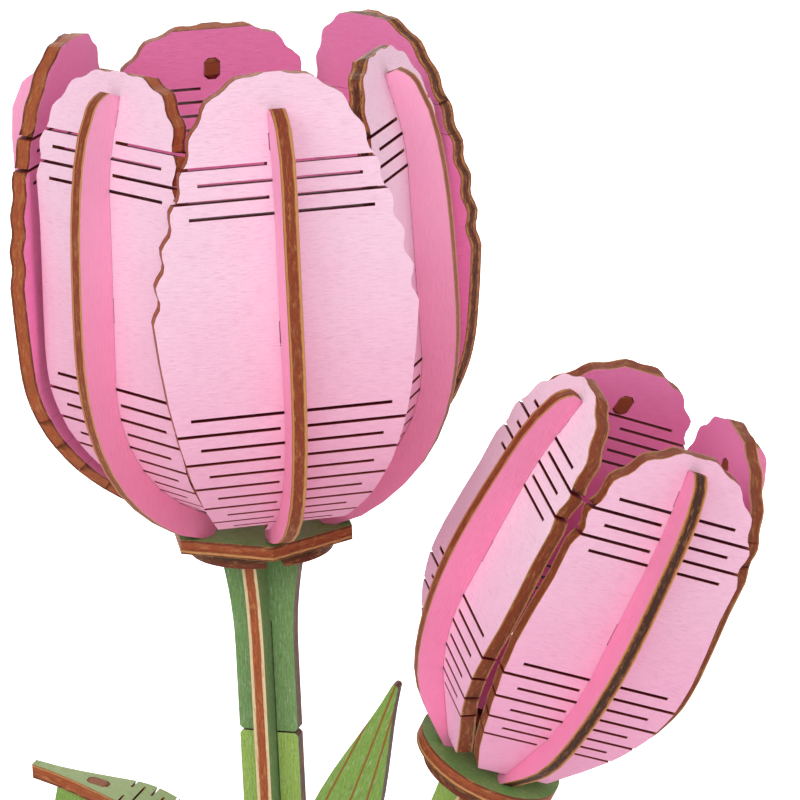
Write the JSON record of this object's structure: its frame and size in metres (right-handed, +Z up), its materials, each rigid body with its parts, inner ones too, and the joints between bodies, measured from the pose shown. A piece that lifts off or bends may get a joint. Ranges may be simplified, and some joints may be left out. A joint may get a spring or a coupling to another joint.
{
  "type": "plywood tulip ornament",
  "caption": "Slot-together plywood tulips: an open bloom and a bud on a forked stem, with kerf-bent petals held by ribs and arching leaves, for display in a vase or holder.",
  "frame": {"origin": "middle of the main stem's flat foot", "axes": "+Z up the main stem, +X toward the leaning bud, +Y to the back of the bloom's front petal"},
  "size_m": [0.1025, 0.062, 0.264],
  "materials": {
    "bloom_petal": "printed plywood, matt",
    "bloom_rib": "printed plywood, matt",
    "bud_petal": "printed plywood, matt",
    "bud_rib": "printed plywood, matt",
    "calyx": "printed plywood, matt",
    "calyx_washer": "printed plywood, matt",
    "stem_upper": "printed plywood, matt",
    "stem_lower": "printed plywood, matt",
    "leaf_left": "printed plywood, matt",
    "leaf_right": "printed plywood, matt"
  },
  "bodies": {
    "root": {"bloom_petal_outer_1": "bloom_petal", "bloom_rib_outer_1": "bloom_rib", "bloom_petal_inner_1": "bloom_petal", "bloom_rib_inner_1": "bloom_rib", "bloom_petal_outer_2": "bloom_petal", "bloom_rib_outer_2": "bloom_rib", "bloom_petal_inner_2": "bloom_petal", "bloom_rib_inner_2": "bloom_rib", "bloom_petal_outer_3": "bloom_petal", "bloom_rib_outer_3": "bloom_rib", "bloom_petal_inner_3": "bloom_petal", "bloom_rib_inner_3": "bloom_rib", "bud_petal_1": "bud_petal", "bud_rib_1": "bud_rib", "bud_petal_2": "bud_petal", "bud_rib_2": "bud_rib", "bud_petal_3": "bud_petal", "bud_rib_3": "bud_rib", "bud_petal_4": "bud_petal", "bud_rib_4": "bud_rib", "bloom_calyx_hex": "calyx", "bud_calyx_disc": "calyx", "bloom_calyx_washer": "calyx_washer", "bud_calyx_washer": "calyx_washer", "stem_cross_upper": "stem_upper", "stem_front_upper": "stem_upper", "stem_fork": "stem_lower", "stem_front_lower": "stem_lower", "stem_cross_foot": "stem_lower", "bud_stem_front": "stem_lower", "leaf_left": "leaf_left", "leaf_left_rib": "leaf_left", "leaf_right": "leaf_right"}
  },
  "joints": []
}
